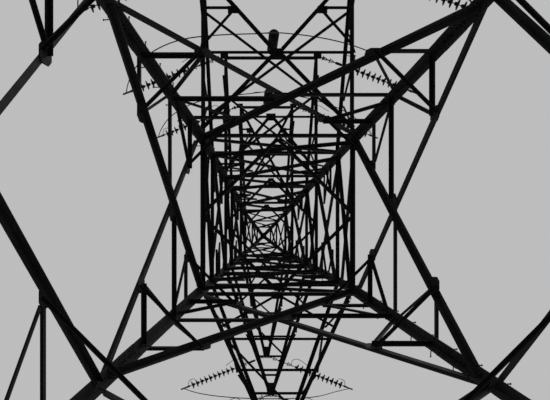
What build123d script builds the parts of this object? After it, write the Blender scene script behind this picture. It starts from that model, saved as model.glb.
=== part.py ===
"""Double circuit angle tension tower, a square lattice body with six crossarms.

Millimetres, +Z up. The origin is on the tower's axis at the underside of the base plates.
The line passes along X. The outer side of its bend is -Y, with square ended crossarms,
and the inner side is +Y, with pointed ones.
"""
import os
from math import atan, cos, hypot, radians, sin, sqrt, tan

from build123d import *

os.makedirs("parts", exist_ok=True)

# Heights above the ground
BELT_HEIGHT = 3500
PANEL_HEIGHT = 12100
WAIST_HEIGHT = 17600
ARM_SPACING = 4000
ARM_DEPTH = 1500
PEAK_RISE = 2500

# Widths of the square body, heel to heel
BASE_WIDTH = 10200
WAIST_WIDTH = 3250
CROWN_WIDTH = 1430
PEAK_WIDTH = 200

# Crossarm reach from the axis, lowest arm first
SQUARE_REACH = (5260, 4470, 3990)
POINTED_REACH = (5100, 4520, 4000)

# Angle sections, size and thickness
LEG = (160, 16)
UPPER_LEG = (140, 14)
PEAK_LEG = (90, 9)
DIAGONAL = (110, 9)
BELT = (90, 8)
RING = (75, 8)
TIE = (55, 6)
LACING = (75, 7)
ARM_CHORD = (90, 9)
ARM_TOP = (75, 8)
ARM_FLOOR = (75, 7)
ARM_CROSS = (60, 6)
ARM_LACING = (50, 6)
PEAK_LACING = (45, 5)

# Joints: the clearance between touching bars, and how bars end at the nodes
SEAT = 0.3
LAP = 45
UPPER_LAP = 36
END = 18
NODE_GAP = 205
UPPER_GAP = 165
PEAK_GAP = 75
PEAK_LAP = 8
PEAK_LEVELS = (0, 0.42, 0.72)
RING_DROP = 75
TOP_RING_DROP = 125
CROSSING_CLEARANCE = 60
TIE_END = 25
TIE_SPREAD = 105
GUSSET_LAP = 90
GUSSET_WIDTH = 265
GUSSET_HEIGHT = 310
GUSSET_CUT = 0.5
PACKING_SHARE = 1.6
HIP_DROP = 140
BELT_CENTRE_GAP = 130
BELT_PLATE_WIDTH = 520
BASE_TIES = (0.36, 0.68)
FOOT_CLEARANCE = 260

# Insulator discs
DISC_COUNT = 11
PILOT_DISCS = 10
DISC_PITCH = 146
DISC_RADIUS = 127
DISC_CAP = 42
DISC_CAP_HEIGHT = 62
DISC_RIM = 92
DISC_EDGE = 8
DISC_RIB = 20
DISC_HOLLOW = 4
DISC_PIN = 16
DISC_PIN_TOP = 14

# Tension strings, measured along the string from the arm: degrees of turn and dip, and link length
OUTER_STRING = (22.2, 5.5)
INNER_STRING = (21, 4)
OUTER_LINK = 817
INNER_LINK = 950
LINK_ROD = 12
LINK_END = 10
LINK_HEAD = 70
LINK_BEVEL = 20
SLEEVE_RADIUS = 34
SLEEVE_FLOOR = 400
SLEEVE_LENGTH = 160
CLAMP_LENGTH = 330
CLAMP_RADIUS = 24
CLAMP_COLLAR = 32
COLLAR_FLOOR = 60
COLLAR_LENGTH = 50
LUG_PLACE = 230
LUG_RADIUS = 22
TIP_HANGER = (14, 90, 130)
END_HANGER = (210, 144, 14)
END_HANGER_REACH = 100
END_HANGER_HOLE = 40
HANGER_HOLE_EDGE = 40

# Pilot strings, which hold the outer jumpers away from the body
PILOT_DROP = 2180
PILOT_SLEEVE_FLOOR = 30
PILOT_SLEEVE_LENGTH = 60
PILOT_GRIP = 110
PILOT_CLAMP_LENGTH = 150
PILOT_CLAMP_TOP = 60
PILOT_CLAMP_HEIGHT = 60
PILOT_CLAMP_WIDTH = 52

# Jumper cables
JUMPER_DIAMETER = 28
ARC_SHARE = 0.45

# The route of an inner jumper: places right of the tip and above the arm's floor
INNER_JUMPER = [
    (-2572, -373), (-2420, -700), (-2220, -1020), (-1980, -1310), (-1700, -1560),
    (-1390, -1770), (-1050, -1930), (-690, -2050), (-320, -2120), (60, -2135),
    (440, -2120), (810, -2060), (1160, -1950), (1460, -1750), (1700, -1470),
    (1910, -1165), (2130, -865), (2360, -590), (2554, -361),
]

# The route of an outer jumper, and how far from the middle its clamps are on the middle arm
OUTER_SPAN = 3803
OUTER_JUMPER = [
    (-3788, -364), (-3720, -720), (-3630, -1110), (-3530, -1500), (-3415, -1880),
    (-3285, -2255), (-3125, -2620), (-2920, -2960), (-2655, -3240), (-2335, -3420),
    (-1970, -3420), (-1620, -3250), (-1290, -3045), (-975, -2815), (-680, -2580),
    (-395, -2355), (-110, -2180), (110, -2180), (420, -2360), (760, -2530),
    (1120, -2655), (1500, -2720), (1880, -2690), (2240, -2560), (2550, -2330),
    (2810, -2040), (3025, -1715), (3210, -1370), (3385, -1022), (3560, -670), (3760, -353),
]

# Base plates
PLATE_SIZE = 520
PLATE_THICKNESS = 30
ANCHOR_SPACING = 340
ANCHOR_HOLE = 39

# Cap of the peak, with the ear that takes the earth wire's clamp
CAP_SIZE = 230
CAP_THICKNESS = 16
EAR_WIDTH = 90
EAR_HEIGHT = 110
EAR_THICKNESS = 16
EAR_HOLE = 24

# Crossarm details
TOP_CLEARANCE = 12
END_INSET = 120
TIP_INSET = 150
TIP_HALF = 110
TIP_PLATE = 14
TIP_PLATE_LENGTH = 330
TIP_PLATE_WIDTHS = (300, 180)
LACING_GAP = 55
STRUT_GAP = 88
LACING_LAP = 20
V_GAP = 40
V_TRIM = 92
ARM_NAMES = ("low", "middle", "high")
V_ENDS = {"low": (0.06, 0.97), "middle": (0.06,), "high": (0.06, 0.97)}
CROSS_SHARE = 0.5
STRUT_SHARE = 0.76
TIE_SHARE = 0.545
TIE_GAP = 130
TOP_CROSS = {"low": (0.23, 0.81), "middle": (0.23, 0.74), "high": (0.23, 0.74)}
TOP_CROSS_INSET = 16
UNDER_CROSS_INSET = 48
SQUARE_LACING = (0.04, 0.3, 0.5, 0.7, 0.86)
POINTED_LACING = (0.04, 0.3, 0.52, 0.72)
POINTED_RUNGS = {
    "low": (0.3, 0.5, 0.65, 0.78, 0.9),
    "middle": (0.35, 0.55, 0.72, 0.88),
    "high": (0.4, 0.65, 0.85),
}
RUNG_LAP = 20

ARM_HEIGHTS = [WAIST_HEIGHT + level * ARM_SPACING for level in range(3)]
CROWN_HEIGHT = ARM_HEIGHTS[2] + ARM_DEPTH
PEAK_HEIGHT = CROWN_HEIGHT + PEAK_RISE

UP = Vector(0, 0, 1)
DOWN = Vector(0, 0, -1)


def save(name, solids):
    """Writes one named piece, made of solids that do not touch."""
    export_step(Compound(solids), f"parts/{name}.step")


def around(solids):
    """The solids of the -Y face, and the same on the other three faces."""
    return [solid.rotate(Axis.Z, 90 * face) for face in range(4) for solid in solids]


def half_turned(solids):
    """The solids turned to the +Y side."""
    return [solid.rotate(Axis.Z, 180) for solid in solids]


def across(solids):
    """The solids and their mirror images on the other side of the YZ plane."""
    return [*solids, *[solid.mirror(Plane.YZ) for solid in solids]]


def prism(corners, run):
    """A solid with the given end corners, extruded along run."""
    return Solid.extrude(Face(Wire.make_polygon(corners)), run)


def angle_bar(start, end, flat, section, toe=DOWN):
    """An angle section whose back lies on the plane through start and end, across flat.

    The standing flange points along flat, and the lying one spreads from it towards toe.
    """
    size, thick = section
    run = end - start
    edge = run.cross(flat).normalized()
    if edge.dot(toe) < 0:
        edge = -edge
    rise = edge.cross(run).normalized()
    if rise.dot(flat) < 0:
        rise = -rise
    outline = [(0, 0), (size, 0), (size, thick), (thick, thick), (thick, size), (0, size)]
    corners = [start + edge * (u - size / 2) + rise * v for u, v in outline]
    return prism(corners, run)


class Tier:
    """One straight stretch of the body, seen as its -Y face."""

    def __init__(self, low, high, low_width, high_width, leg):
        self.low, self.high = low, high
        self.low_half, self.high_half = low_width / 2, high_width / 2
        self.leg_size, self.leg_thick = leg
        self.slope = (self.high_half - self.low_half) / (high - low)
        self.normal = Vector(0, -1, -self.slope).normalized()

    def half(self, z):
        """Half the width, heel to heel, at height z."""
        return self.low_half + self.slope * (z - self.low)

    def reach(self, z):
        """The distance from the face's middle to the middle of a leg's flange."""
        return self.half(z) - self.leg_size / 2

    def point(self, x, z, depth=0.0):
        """A point of the face, depth under its outer surface."""
        return Vector(x, -self.half(z), z) - self.normal * depth

    def bar(self, start, end, section, outside, lap=(LAP, LAP), toe=DOWN):
        """An angle bar on the outside or the inside of the leg's flanges."""
        depth = -SEAT if outside else self.leg_thick + SEAT
        first, last = self.point(*start, depth), self.point(*end, depth)
        run = (last - first).normalized()
        flat = self.normal if outside else -self.normal
        return angle_bar(first - run * lap[0], last + run * lap[1], flat, section, toe)

    def plate(self, x, z, width, height, shift=(0, 0)):
        """A gusset plate in the space between the inner and the outer bars."""
        along = Vector(1, 0, 0)
        rise = self.normal.cross(along).normalized()
        if rise.Z < 0:
            rise = -rise
        middle = self.point(x, z) + along * shift[0] + rise * shift[1]
        half_x, half_z = along * (width / 2), rise * (height / 2)
        cut_x, cut_z = half_x * GUSSET_CUT, half_z * GUSSET_CUT
        corners = [
            middle - half_x - cut_z,
            middle - cut_x - half_z,
            middle + cut_x - half_z,
            middle + half_x - cut_z,
            middle + half_x + cut_z,
            middle + cut_x + half_z,
            middle - cut_x + half_z,
            middle - half_x + cut_z,
        ]
        return prism(corners, -self.normal * self.leg_thick)

    def legs(self, low, high):
        """The four legs between two heights, cut level, each flange flat in a face of the body."""
        thick = self.leg_thick * hypot(1, self.slope)
        outline = [(0, 0), (1, 0), (1, thick), (thick, thick), (thick, 1), (0, 1)]
        heel = Vector(-self.half(low), -self.half(low), low)
        run = Vector(-self.half(high), -self.half(high), high) - heel
        size = self.leg_size
        places = [(size if u == 1 else u, size if v == 1 else v) for u, v in outline]
        leg = prism([heel + Vector(u, v, 0) for u, v in places], run)
        return [leg.rotate(Axis.Z, 90 * face) for face in range(4)]


def crossing_height(tier, low, high, gap):
    """The height at which two diagonals of a panel cross."""
    start, end = low + gap, high - gap
    return (tier.reach(end) * start + tier.reach(start) * end) / (tier.reach(start) + tier.reach(end))


LOWER = Tier(0, WAIST_HEIGHT, BASE_WIDTH, WAIST_WIDTH, LEG)
UPPER = Tier(WAIST_HEIGHT, CROWN_HEIGHT, WAIST_WIDTH, CROWN_WIDTH, UPPER_LEG)
PEAK = Tier(CROWN_HEIGHT, PEAK_HEIGHT, CROWN_WIDTH, PEAK_WIDTH, PEAK_LEG)


def diagonals(tier, low, high, section, gap, lap=END):
    """The two diagonals of a panel: the inner one rises to the left, the outer one to the right."""
    first = (tier.reach(low + gap), low + gap)
    last = (-tier.reach(high - gap), high - gap)
    inner = tier.bar(first, last, section, False, (lap, lap))
    outer = tier.bar((-first[0], first[1]), (-last[0], last[1]), section, True, (lap, lap))
    middle = crossing_height(tier, low, high, gap)
    packing_size = PACKING_SHARE * section[0]
    packing = tier.plate(0, middle, packing_size, packing_size)
    return inner, outer, packing


def tied_panel(name, tier, low, high):
    """A crossed panel with horizontals through the crossing and ties in its quarters."""
    middle = crossing_height(tier, low, high, NODE_GAP)
    inner, outer, _ = diagonals(tier, low, high, DIAGONAL, NODE_GAP)
    save(f"{name}_diagonals", around([inner, outer]))

    def diagonal_x(height):
        """Where the inner diagonal is at a height."""
        share = (height - low - NODE_GAP) / (high - low - 2 * NODE_GAP)
        first, last = tier.reach(low + NODE_GAP), tier.reach(high - NODE_GAP)
        return first - (first + last) * share

    stop = DIAGONAL[0] / 2 + RING[0] / 2 + CROSSING_CLEARANCE
    right = tier.bar((stop, middle), (tier.reach(middle), middle), RING, True, (0, LAP))
    left = tier.bar((-tier.reach(middle), middle), (-stop, middle), RING, False, (LAP, 0))
    save(f"{name}_crossing_horizontals", around([right, left]))

    plates = [tier.plate(0, middle, 2 * stop + 2 * GUSSET_LAP, GUSSET_HEIGHT)]
    outer_ties, inner_ties, hips = [], [], []
    for height, side in (((low + middle) / 2, 1), ((middle + high) / 2, -1)):
        join = middle - side * NODE_GAP
        # The inner diagonal carries outer ties, and the outer diagonal inner ones.
        for ties, outside, mirror in ((outer_ties, True, 1), (inner_ties, False, -1)):
            node = (diagonal_x(height) * mirror, height)
            at_leg = (side * mirror * tier.reach(height), height)
            at_ring = (side * mirror * tier.reach(join), join)
            ties.append(tier.bar(node, at_leg, RING, outside, (TIE_END, LAP)))
            rise = Vector(at_ring[0] - node[0], at_ring[1] - node[1]).normalized() * TIE_SPREAD
            ties.append(tier.bar((node[0] + rise.X, node[1] + rise.Y), at_ring, TIE, outside, (0, END)))
            plates.append(tier.plate(*node, GUSSET_WIDTH, GUSSET_HEIGHT))
        hips.append(hip(tier, (diagonal_x(height), height), side))
    save(f"{name}_ties", around(outer_ties + inner_ties))
    save(f"{name}_gussets", around(plates))
    save(f"{name}_hip_braces", around(hips))


def hip(tier, node, side):
    """A level brace across a corner, between the gussets of two neighbouring faces."""
    height = node[1] - HIP_DROP
    reach = node[0] * side
    depth = tier.leg_thick + SEAT
    face = tier.half(height) - depth * hypot(1, tier.slope)
    back = TIE[0] / 2 * cos(radians(45))
    start = Vector(reach, -face + back, height)
    end = Vector(face - back, -reach, height)
    brace = angle_bar(start, end, DOWN, TIE, Vector(-1, 1, 0))
    return brace if side > 0 else brace.mirror(Plane.YZ)


def belt(tier, height, section, outside, lap=LAP):
    """A full width horizontal on one face."""
    reach = tier.reach(height)
    return tier.bar((-reach, height), (reach, height), section, outside, (lap, lap))


def ring(tier, height, section, lap=LAP):
    """Horizontals on all four faces: outside on the arms' faces, inside on the other two."""
    outside = belt(tier, height, section, True, lap)
    inside = belt(tier, height, section, False, lap)
    return [outside, outside.rotate(Axis.Z, 180), inside.rotate(Axis.Z, 90), inside.rotate(Axis.Z, 270)]


def base_panel():
    """The stretch between the feet and the lowest belt, braced by an inverted V."""
    peak = (BELT_CENTRE_GAP, BELT_HEIGHT - BELT[0])
    foot = (LOWER.reach(FOOT_CLEARANCE), FOOT_CLEARANCE)
    strut = LOWER.bar(foot, peak, BELT, False, (END, 0))
    save("base_braces", around([belt(LOWER, BELT_HEIGHT, BELT, True), *across([strut])]))
    plates = [LOWER.plate(0, BELT_HEIGHT - BELT[0] / 2, BELT_PLATE_WIDTH, GUSSET_HEIGHT)]
    ties = []
    for share in BASE_TIES:
        x = foot[0] + (peak[0] - foot[0]) * share
        z = foot[1] + (peak[1] - foot[1]) * share
        ties += across([LOWER.bar((x, z), (LOWER.reach(z), z), TIE, True, (TIE_END, LAP))])
        plates += [LOWER.plate(side * x, z, GUSSET_WIDTH, GUSSET_WIDTH) for side in (1, -1)]
    save("base_ties", around(ties))
    save("base_gussets", around(plates))


def base_plates():
    """Four square plates, each with a hole for an anchor bolt near every corner."""
    plates = []
    for x in (-1, 1):
        for y in (-1, 1):
            centre = BASE_WIDTH / 2 - LEG[0] / 2
            place = Pos(x * centre, y * centre, PLATE_THICKNESS / 2)
            plate = place * Box(PLATE_SIZE, PLATE_SIZE, PLATE_THICKNESS)
            for hole in GridLocations(ANCHOR_SPACING, ANCHOR_SPACING, 2, 2):
                plate -= place * hole * Cylinder(ANCHOR_HOLE / 2, 2 * PLATE_THICKNESS)
            plates.append(plate.solid())
    save("base_plates", plates)


def body_above_waist():
    """Crossed panels and rings from the waist to the crown."""
    inner, outer, packing, rings = [], [], [], []
    for floor in ARM_HEIGHTS:
        levels = [floor, floor + ARM_DEPTH - TOP_RING_DROP + RING_DROP]
        if floor != ARM_HEIGHTS[-1]:
            levels.append(floor + ARM_SPACING)
        for low, high in zip(levels, levels[1:]):
            first, second, plate = diagonals(UPPER, low, high, LACING, UPPER_GAP)
            inner.append(first)
            outer.append(second)
            packing.append(plate)
        if floor != WAIST_HEIGHT:
            rings += ring(UPPER, floor - RING_DROP, RING, UPPER_LAP)
        rings += ring(UPPER, floor + ARM_DEPTH - TOP_RING_DROP, LACING, UPPER_LAP)
    save("upper_diagonals", around(inner + outer))
    save("upper_packings", around(packing))
    save("waist_ring", ring(LOWER, WAIST_HEIGHT - RING_DROP, BELT))
    save("upper_rings", rings)


def peak():
    """The pyramid that carries the earth wire."""
    inner, outer, packing = [], [], []
    levels = [CROWN_HEIGHT + PEAK_RISE * share for share in PEAK_LEVELS]
    for low, high in zip(levels, levels[1:]):
        first, second, plate = diagonals(PEAK, low, high, PEAK_LACING, PEAK_GAP, 0)
        inner.append(first)
        outer.append(second)
        packing.append(plate)
    save("peak_bracing", around(inner + outer + packing))
    save("peak_rings", [bar for level in levels[1:] for bar in ring(PEAK, level, PEAK_LACING, PEAK_LAP)])
    cap = Pos(0, 0, PEAK_HEIGHT + CAP_THICKNESS / 2) * Box(CAP_SIZE, CAP_SIZE, CAP_THICKNESS)
    ear = Pos(0, 0, PEAK_HEIGHT + CAP_THICKNESS + EAR_HEIGHT / 2) * Box(EAR_WIDTH, EAR_THICKNESS, EAR_HEIGHT)
    hole = Pos(0, 0, PEAK_HEIGHT + CAP_THICKNESS + EAR_HEIGHT / 2) * Rot(90, 0, 0)
    ear -= hole * Cylinder(EAR_HOLE / 2, 3 * EAR_THICKNESS)
    save("peak_cap", [(cap + ear).solid()])


class Arm:
    """A crossarm on the -Y side: its right half, from the leg to the end."""

    def __init__(self, floor, reach, end_half):
        self.z = floor
        chord = ARM_CHORD[0]
        half = UPPER.half(self.z)
        self.end = Vector(end_half, -reach, self.z + chord)
        slant = sin(atan((half - end_half) / (reach - half)))
        retreat = chord * slant
        self.root = Vector(half - retreat, -(half + SEAT + retreat), self.z + chord)
        self.along = (self.end - self.root).normalized()
        self.out = Vector(-self.along.Y, self.along.X, 0)
        top = floor + ARM_DEPTH
        face = UPPER.half(top - ARM_TOP[0])
        self.top = Vector(UPPER.half(top) - SEAT, -(face + SEAT + retreat + TOP_CLEARANCE), top)
        self.normal = self.along.cross(self.top - self.root).normalized()
        if self.normal.X < 0:
            self.normal = -self.normal
        rise = self.normal.cross(self.along)
        if rise.Z < 0:
            rise = -rise
        slant_run = self.top - self.end
        drop = ARM_TOP[0] / 2 * hypot(slant_run.X, slant_run.Y) / slant_run.length
        lean = ARM_TOP[1] * self.normal.Z
        self.top_end = self.end - self.along * END_INSET + rise * (drop + lean + SEAT)

    def bottom_chord(self):
        heel = self.root - UP * ARM_CHORD[0] - self.out * SEAT
        size, thick = ARM_CHORD
        outline = [(0, 0), (size, 0), (size, thick), (thick, thick), (thick, size), (0, size)]
        return prism([heel - self.out * u + UP * v for u, v in outline], self.end - self.root)

    def top_chord(self):
        return angle_bar(self.top, self.top_end, -self.normal, ARM_TOP, DOWN)

    def top_cross(self, shares):
        """Two bars that cross between the top chords: one on their flanges, one under them."""
        run = self.top_end - self.top
        edge = run.cross(self.normal).normalized()
        if edge.Z < 0:
            edge = -edge
        heel = self.top + edge * (ARM_TOP[0] / 2)
        near, far = (heel + run * share for share in shares)
        rise = (far - near).cross(Vector(1, 0, 0)).normalized()
        if rise.Z < 0:
            rise = -rise
        tip = -self.normal * ARM_TOP[0]
        drop = rise * (min(tip.dot(rise), 0) - edge.dot(rise) * ARM_TOP[1] - SEAT)
        bars = []
        over = (rise * SEAT, rise, 1, TOP_CROSS_INSET)
        under = (drop, -rise, -1, UNDER_CROSS_INSET)
        for shift, flat, side, inset in (over, under):
            start = Vector(-side * near.X, near.Y, near.Z) + shift
            end = Vector(side * far.X, far.Y, far.Z) + shift
            trim = (end - start).normalized() * inset
            bars.append(angle_bar(start + trim, end - trim, flat, ARM_CROSS, Vector(0, 1, 0)))
        return bars

    def low_point(self, share):
        """A point under the bottom chord's lying flange."""
        point = self.root + (self.end - self.root) * share
        return point - UP * (ARM_CHORD[0] + SEAT) - self.out * (ARM_CHORD[0] / 2)

    def side_points(self, share):
        low = self.root + (self.end - self.root) * share
        high = self.top + (self.top_end - self.top) * share
        return low + self.normal * SEAT, high + self.normal * SEAT

    def side_lacing(self, shares):
        """A zigzag on the outside of the side, between the bottom and the top chord."""
        bars = []
        for index, (first, last) in enumerate(zip(shares, shares[1:])):
            start = self.side_points(first)[index % 2] + self.along * LACING_GAP
            end = self.side_points(last)[(index + 1) % 2] - self.along * LACING_GAP
            lap = (end - start).normalized() * LACING_LAP
            bars.append(angle_bar(start - lap, end + lap, self.normal, ARM_LACING, DOWN))
        return bars

    def low_bar(self, start, end, section=ARM_LACING, trim=(0, 0)):
        """A bar of the floor bracing, hung under the bottom chords."""
        run = (end - start).normalized()
        return angle_bar(start + run * trim[0], end - run * trim[1], DOWN, section, Vector(0, 1, 0))


def square_arm(title, floor, reach, end_half):
    """A square ended arm: chords, an end beam, and Vs in its floor that meet at a cross beam."""
    arm = Arm(floor, reach, end_half)
    name = f"{title}_square_arm"
    save(f"{name}_chords", across([arm.bottom_chord(), arm.top_chord()]))
    inside = end_half - ARM_CHORD[1] - 2 * SEAT
    beam_y = -reach + BELT[0] / 2
    beam_z = arm.z + ARM_CHORD[1] + SEAT
    start, end = Vector(-inside, beam_y, beam_z), Vector(inside, beam_y, beam_z)
    end_beam = angle_bar(start, end, UP, BELT, Vector(0, 1, 0))

    cross = arm.low_point(CROSS_SHARE)
    beam = arm.low_bar(Vector(-cross.X, cross.Y, cross.Z), cross, ARM_LACING, (-RUNG_LAP, -RUNG_LAP))
    centre = Vector(V_GAP, cross.Y, cross.Z)
    ends = [arm.low_point(share) for share in V_ENDS[title]]
    bars = [arm.low_bar(end, centre, ARM_FLOOR, (0, V_TRIM)) for end in ends]
    if len(ends) > 1:
        strut_end = arm.low_point(STRUT_SHARE)
        part = (strut_end.Y - centre.Y) / (ends[1].Y - centre.Y)
        joint = centre + (ends[1] - centre) * part
        bars.append(arm.low_bar(joint, strut_end, ARM_LACING, (STRUT_GAP, -RUNG_LAP)))
        bars.append(arm.low_bar(joint, arm.low_point(TIE_SHARE), ARM_LACING, (TIE_GAP, -RUNG_LAP)))
    save(f"{name}_floor", [end_beam, beam, *across(bars)])
    save(f"{name}_top_cross", arm.top_cross(TOP_CROSS[title]))
    save(f"{name}_side_lacing", across(arm.side_lacing(SQUARE_LACING)))
    return arm


def pointed_arm(title, floor, reach):
    """A pointed arm: chords that meet at a tip plate, rungs, a floor brace and side lacing."""
    arm = Arm(floor, reach - TIP_INSET, TIP_HALF)
    name = f"{title}_pointed_arm"
    rungs = POINTED_RUNGS[title]
    halves = [arm.bottom_chord(), arm.top_chord()]
    save(f"{name}_chords", half_turned(across(halves)))
    bars = []
    for share in rungs:
        right = arm.low_point(share)
        left = Vector(-right.X, right.Y, right.Z)
        bars.append(arm.low_bar(left, right, ARM_LACING, (-RUNG_LAP, -RUNG_LAP)))
    lift = UP * (ARM_CHORD[1] + 2 * SEAT)
    near, far = arm.low_point(rungs[0]) + lift, arm.low_point(rungs[-2]) + lift
    brace = angle_bar(near, Vector(-far.X, far.Y, far.Z), UP, ARM_LACING, Vector(0, 1, 0))
    save(f"{name}_rungs", half_turned([*bars, brace]))
    save(f"{name}_side_lacing", half_turned(across(arm.side_lacing(POINTED_LACING))))
    return arm


def turned(profile):
    """A turned shape along +Z, through (radius, height) places."""
    outline = [(0, profile[0][1]), *profile, (0, profile[-1][1])]
    face = Face(Wire.make_polygon([Vector(radius, 0, height) for radius, height in outline]))
    return Solid.revolve(face, 360, Axis.Z)


def disc_stack(count):
    """Cap and pin insulator discs in a row, the first cap at the origin."""
    profile = [(DISC_CAP, SEAT)]
    for disc in range(count):
        floor = disc * DISC_PITCH
        profile += [
            (DISC_CAP, floor + DISC_CAP_HEIGHT),
            (DISC_RADIUS, floor + DISC_RIM - DISC_EDGE),
            (DISC_RADIUS, floor + DISC_RIM),
            (DISC_CAP + DISC_RIB, floor + DISC_RIM - DISC_HOLLOW),
            (DISC_PIN, floor + DISC_RIM + DISC_PIN_TOP),
            (DISC_PIN, floor + DISC_PITCH),
        ]
        if disc < count - 1:
            profile.append((DISC_CAP, floor + DISC_PITCH))
    return turned(profile)


def placed(solid, origin, direction):
    """The solid with its +Z turned to direction and its origin moved."""
    return solid.moved(Location(Plane(origin, z_dir=direction)))


def string_direction(spread, side):
    """The way a tension string leaves the arm, along the line and towards its bend."""
    turn, dip = (radians(angle) for angle in (OUTER_STRING if spread else INNER_STRING))
    return Vector(side * cos(turn) * cos(dip), sin(turn) * cos(dip), -sin(dip))


def link(length):
    """Shackle, rod, sleeve and ball link between an arm and the first disc."""
    head = DISC_PIN + LINK_END
    return turned([
        (LINK_END, 0),
        (head, LINK_BEVEL),
        (head, LINK_HEAD),
        (LINK_ROD, LINK_HEAD + LINK_BEVEL),
        (LINK_ROD, SLEEVE_FLOOR - LINK_BEVEL),
        (SLEEVE_RADIUS, SLEEVE_FLOOR),
        (SLEEVE_RADIUS, SLEEVE_FLOOR + SLEEVE_LENGTH),
        (LINK_ROD, SLEEVE_FLOOR + SLEEVE_LENGTH + LINK_BEVEL),
        (LINK_ROD, length),
    ])


def clamp(place, route, way):
    """The dead end clamp past the last disc, with a lug that reaches to the start of its jumper."""
    body = placed(turned([
        (DISC_PIN, SEAT),
        (CLAMP_COLLAR, COLLAR_FLOOR),
        (CLAMP_COLLAR, COLLAR_FLOOR + COLLAR_LENGTH),
        (CLAMP_RADIUS, COLLAR_FLOOR + COLLAR_LENGTH + LINK_BEVEL),
        (CLAMP_RADIUS, CLAMP_LENGTH),
    ]), place, way)
    root = place + way * LUG_PLACE
    run = route[0] - root
    lean = JUMPER_DIAMETER / 2 * sin(radians(run.get_angle(route[1] - route[0])))
    lug = turned([(LUG_RADIUS, 0), (LUG_RADIUS, run.length - SEAT - lean)])
    return (body + placed(lug, root, run)).solid()


def hanger_centre(arm, spread, side):
    """The middle of the plate that a tension string is fastened to."""
    if spread:
        length, _, thickness = END_HANGER
        x = side * (arm.end.X + END_HANGER_REACH - length / 2)
        return Vector(x, arm.end.Y, arm.z - SEAT - thickness / 2)
    _, width, height = TIP_HANGER
    return Vector(0, TIP_INSET - arm.end.Y - width / 2, arm.z - TIP_PLATE - 2 * SEAT - height / 2)


def string_start(arm, spread, side):
    """Where a tension string starts, past the face of its hanger."""
    way = string_direction(spread, side)
    lean = LINK_END * sqrt(1 - way.X ** 2)
    offset = (SEAT + lean) / abs(way.X)
    centre = hanger_centre(arm, spread, side)
    if spread:
        return centre + Vector(side * END_HANGER[0] / 2, END_HANGER_HOLE, 0) + way * offset
    thickness, _, height = TIP_HANGER
    hole = centre + DOWN * (height / 2 - HANGER_HOLE_EDGE)
    return hole + Vector(side * thickness / 2, 0, 0) + way * offset


def cable(points):
    """A round cable along straight runs joined by the largest tangent arcs."""
    radii = []
    for before, corner, after in zip(points, points[1:], points[2:]):
        first, second = corner - before, after - corner
        half_turn = radians(first.get_angle(second)) / 2
        radii.append(ARC_SHARE * min(first.length, second.length) / tan(half_turn))
    route = FilletPolyline(*points, radius=radii)
    section = Plane(points[0], z_dir=points[1] - points[0]) * Circle(JUMPER_DIAMETER / 2)
    tube = sweep(section, path=route).solid()
    share = tube.volume / (section.area * route.length)
    print("jumper", round(route.length), "mm, radii from", round(min(radii)), "volume share", round(share, 4))
    return tube


def outer_route(pilot, clamp_place, z):
    """An outer jumper's points, from clamp to clamp past the pilot string."""
    stretch = clamp_place.X / OUTER_SPAN
    points = []
    for x, height in OUTER_JUMPER:
        share = (abs(x) - PILOT_GRIP) / (OUTER_SPAN - PILOT_GRIP)
        points.append(Vector(x * stretch, pilot.Y + (clamp_place.Y - pilot.Y) * share, z + height))
    return points


def pilot_string(arm):
    """The link, discs and clamp that hang from the middle of a square arm's end beam."""
    top = Vector(0, arm.end.Y + BELT[0] / 2, arm.z + ARM_CHORD[1])
    clamp_floor = -PILOT_DROP + JUMPER_DIAMETER / 2 + SEAT
    clamp_top = clamp_floor + PILOT_CLAMP_HEIGHT
    length = ARM_CHORD[1] - clamp_top - PILOT_DISCS * DISC_PITCH
    rod = turned([
        (LINK_ROD, 0),
        (SLEEVE_RADIUS, PILOT_SLEEVE_FLOOR),
        (SLEEVE_RADIUS, PILOT_SLEEVE_FLOOR + PILOT_SLEEVE_LENGTH),
        (LINK_ROD, PILOT_SLEEVE_FLOOR + PILOT_SLEEVE_LENGTH + LINK_BEVEL),
        (LINK_ROD, length),
    ])
    low = [(-PILOT_CLAMP_LENGTH / 2, clamp_floor), (PILOT_CLAMP_LENGTH / 2, clamp_floor)]
    high = [(PILOT_CLAMP_TOP / 2, clamp_top - SEAT), (-PILOT_CLAMP_TOP / 2, clamp_top - SEAT)]
    corners = [Vector(x, top.Y - PILOT_CLAMP_WIDTH / 2, arm.z + z) for x, z in low + high]
    saddle = prism(corners, Vector(0, PILOT_CLAMP_WIDTH, 0))
    return placed(rod, top, DOWN), placed(disc_stack(PILOT_DISCS), top + DOWN * length, DOWN), saddle


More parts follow.
